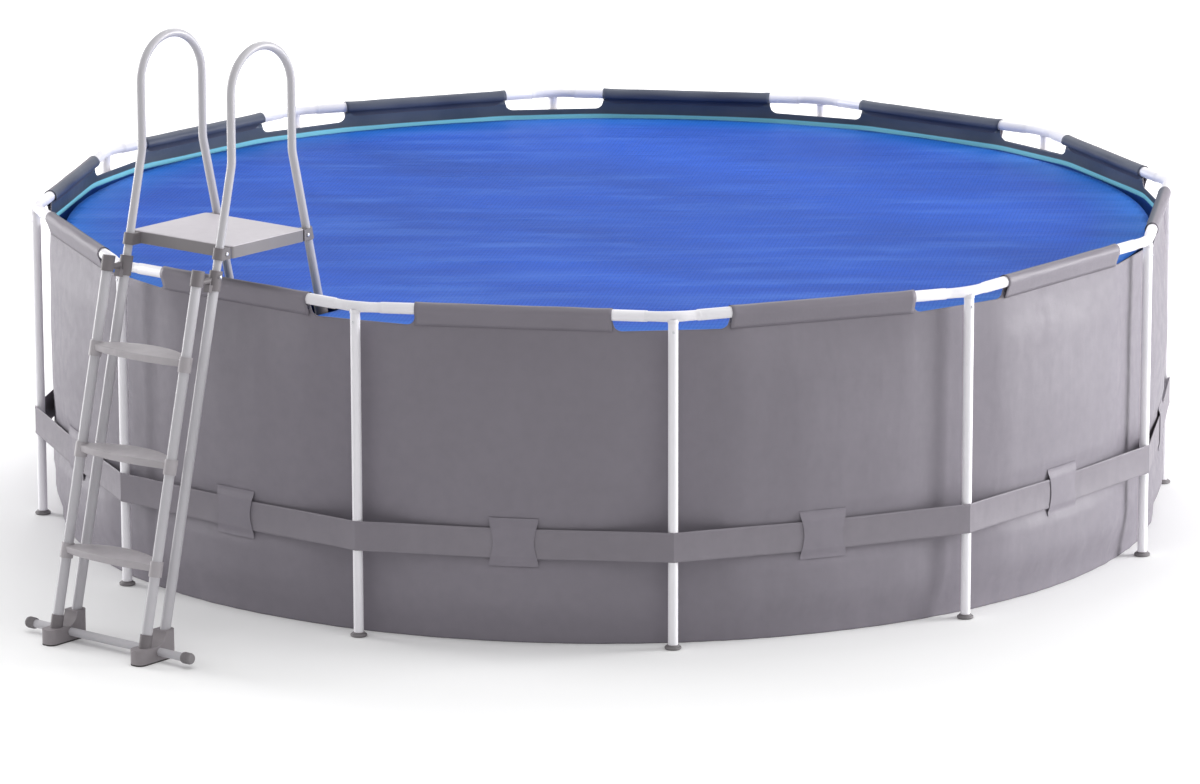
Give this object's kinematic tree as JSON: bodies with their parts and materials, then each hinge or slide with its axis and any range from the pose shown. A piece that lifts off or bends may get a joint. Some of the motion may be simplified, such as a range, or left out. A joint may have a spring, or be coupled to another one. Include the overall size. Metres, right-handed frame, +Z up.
{
  "type": "frame pool with solar cover",
  "caption": "Round steel-frame pool with a vinyl liner, a floating blue bubble solar cover and an A-frame ladder with a platform and lift-off steps.",
  "frame": {"origin": "on the ground at the pool's centre, under the liner floor", "axes": "+Z up, +Y from the ladder across the pool, +X to the right of someone climbing in"},
  "size_m": [3.5852, 4.2608, 1.7754],
  "materials": {
    "white_steel": "semi-gloss white powder coat on steel tube",
    "tee_plastic": "satin white moulded plastic",
    "liner_vinyl": "satin warm grey laminated vinyl, blue on the water side",
    "sleeve_vinyl": "satin dark grey laminated vinyl",
    "band_vinyl": "satin warm grey reinforced vinyl webbing",
    "foot_plastic": "matt dark grey moulded plastic",
    "bolt_steel": "bright zinc plate",
    "port_plastic": "satin white moulded plastic",
    "plug_rubber": "matt black rubber",
    "cover_blue": "translucent royal blue bubble film",
    "cover_black": "glossy black bubble film",
    "ladder_steel": "semi-gloss white powder coat on steel tube",
    "grey_plastic": "satin mid-grey moulded plastic",
    "tread_plastic": "satin light grey moulded plastic with a grip texture",
    "platform_plastic": "satin light grey moulded plastic with a grip texture",
    "sole_rubber": "matt dark grey rubber"
  },
  "bodies": {
    "pool": {"top_rails": "white_steel", "upright_01": "white_steel", "upright_02": "white_steel", "upright_03": "white_steel", "upright_04": "white_steel", "upright_05": "white_steel", "upright_06": "white_steel", "upright_07": "white_steel", "upright_08": "white_steel", "upright_09": "white_steel", "upright_10": "white_steel", "upright_11": "white_steel", "upright_12": "white_steel", "tee_joints": "tee_plastic", "snap_pins": "bolt_steel", "upright_feet": "foot_plastic", "liner_wall": "liner_vinyl", "liner_port_panel": "liner_vinyl", "liner_floor": "liner_vinyl", "rail_sleeves": "sleeve_vinyl", "support_band": "band_vinyl", "band_loops": "band_vinyl", "pump_ports": "port_plastic", "port_nuts": "port_plastic", "port_plugs": "plug_rubber", "drain_valve": "port_plastic"},
    "cover": {"cover_top_film": "cover_blue", "cover_bubble_film": "cover_black"},
    "ladder": {"handrail_left": "ladder_steel", "handrail_right": "ladder_steel", "outer_leg_left": "ladder_steel", "outer_leg_right": "ladder_steel", "inner_leg_left": "ladder_steel", "inner_leg_right": "ladder_steel", "outer_socket_left": "grey_plastic", "outer_socket_right": "grey_plastic", "base_shoe_left": "grey_plastic", "base_shoe_right": "grey_plastic", "inner_sockets": "grey_plastic", "inner_feet": "grey_plastic", "shoe_soles": "sole_rubber", "base_bar": "ladder_steel", "bar_caps": "foot_plastic", "platform": "platform_plastic", "platform_brackets": "grey_plastic", "platform_bolts": "bolt_steel", "inner_treads": "tread_plastic"},
    "step_unit": {"step_rail_left": "ladder_steel", "step_rail_right": "ladder_steel", "hook_bracket_left": "grey_plastic", "hook_bracket_right": "grey_plastic", "step_caps": "grey_plastic", "outer_tread_1": "tread_plastic", "outer_tread_2": "tread_plastic", "outer_tread_3": "tread_plastic"},
    "button_left": {"snap_button_left": "bolt_steel"},
    "button_right": {"snap_button_right": "bolt_steel"},
    "cap": {"drain_cap": "port_plastic"}
  },
  "joints": [
    {"name": "cover_lift", "type": "slide", "parent": "pool", "child": "cover", "axis": [0, 0, 1], "range_m": [0, 1]},
    {"name": "ladder_lift", "type": "slide", "parent": "pool", "child": "ladder", "axis": [0, -0.2317, 0.9728], "range_m": [0, 1.15]},
    {"name": "step_unit_lift", "type": "slide", "parent": "ladder", "child": "step_unit", "axis": [0, 0.2317, 0.9728], "range_m": [0, 0.3]},
    {"name": "snap_button_left_press", "type": "slide", "parent": "ladder", "child": "button_left", "axis": [1, 0, 0], "range_m": [0, 0.004], "stiffness_N_per_m": 900, "springref_m": -0.003},
    {"name": "snap_button_right_press", "type": "slide", "parent": "ladder", "child": "button_right", "axis": [-1, 0, 0], "range_m": [0, 0.004], "stiffness_N_per_m": 900, "springref_m": -0.003},
    {"name": "drain_cap_turn", "type": "hinge", "parent": "pool", "child": "cap", "pos_m": [0, 1.80314, 0.12], "axis": [0, 1, 0], "continuous": true}
  ]
}
